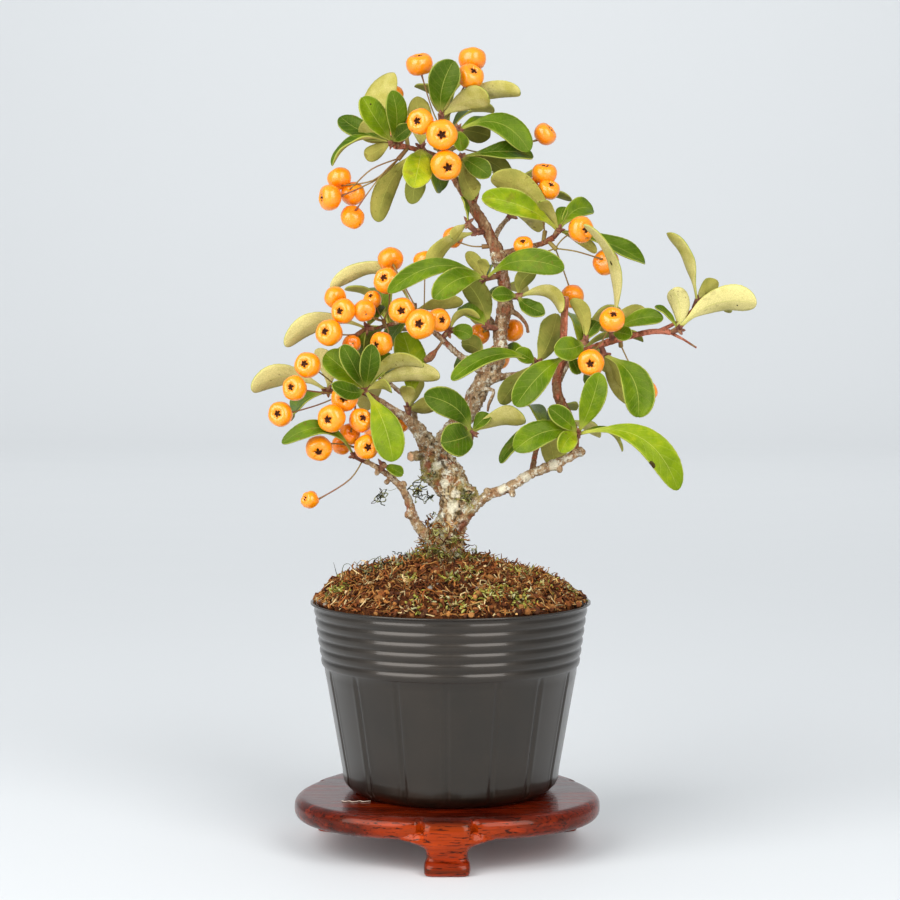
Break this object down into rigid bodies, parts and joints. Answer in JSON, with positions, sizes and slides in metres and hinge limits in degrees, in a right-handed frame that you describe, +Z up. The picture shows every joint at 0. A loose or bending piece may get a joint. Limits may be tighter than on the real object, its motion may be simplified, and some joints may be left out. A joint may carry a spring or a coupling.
{
  "type": "firethorn bonsai",
  "caption": "Small firethorn tree with orange berries in a ribbed black nursery pot, standing on a low carved wooden stand.",
  "frame": {"origin": "middle of the whole part's box in plan, on the floor under the stand", "axes": "+Z up along the tree; -Y is the front of the tree, +X to the right of it"},
  "size_m": [0.1606, 0.0976, 0.2558],
  "materials": {
    "bark": "rough",
    "leaf": "satin",
    "berry": "gloss",
    "potting_soil": "rough",
    "pot_plastic": "satin",
    "lacquered_wood": "gloss"
  },
  "bodies": {
    "root": {"berries_crown_back": "berry", "berries_crown_far_left": "berry", "berries_crown_front": "berry", "berries_crown_single": "berry", "berries_crown_top": "berry", "berries_leader_back": "berry", "berries_leader_left": "berry", "berries_left_edge": "berry", "berries_left_front": "berry", "berries_left_limb_back": "berry", "berries_left_low": "berry", "berries_left_middle": "berry", "berries_left_top": "berry", "berries_low_left": "berry", "berries_right_far": "berry", "berries_right_low": "berry", "berries_upper_right": "berry", "berries_upper_right_top": "berry", "leaves_back_crown": "leaf", "leaves_back_left": "leaf", "leaves_back_low_right": "leaf", "leaves_back_middle_left": "leaf", "leaves_back_right": "leaf", "leaves_back_trunk": "leaf", "leaves_back_upper": "leaf", "leaves_crown_inner": "leaf", "leaves_crown_left": "leaf", "leaves_crown_low": "leaf", "leaves_crown_right": "leaf", "leaves_crown_top": "leaf", "leaves_left": "leaf", "leaves_left_far": "leaf", "leaves_left_inner": "leaf", "leaves_left_middle": "leaf", "leaves_left_top": "leaf", "leaves_low_left": "leaf", "leaves_low_left_small": "leaf", "leaves_middle": "leaf", "leaves_middle_left": "leaf", "leaves_right_inner": "leaf", "leaves_right_low": "leaf", "leaves_right_middle": "leaf", "leaves_right_tip": "leaf", "leaves_right_tip_upper": "leaf", "leaves_right_under": "leaf", "leaves_stem_left": "leaf", "leaves_stem_middle": "leaf", "leaves_trunk_front": "leaf", "leaves_trunk_left": "leaf", "leaves_trunk_left_low": "leaf", "leaves_trunk_right": "leaf", "leaves_upper_right": "leaf", "pot": "pot_plastic", "soil": "potting_soil", "stand": "lacquered_wood", "trunk_and_branches": "bark"}
  },
  "joints": []
}
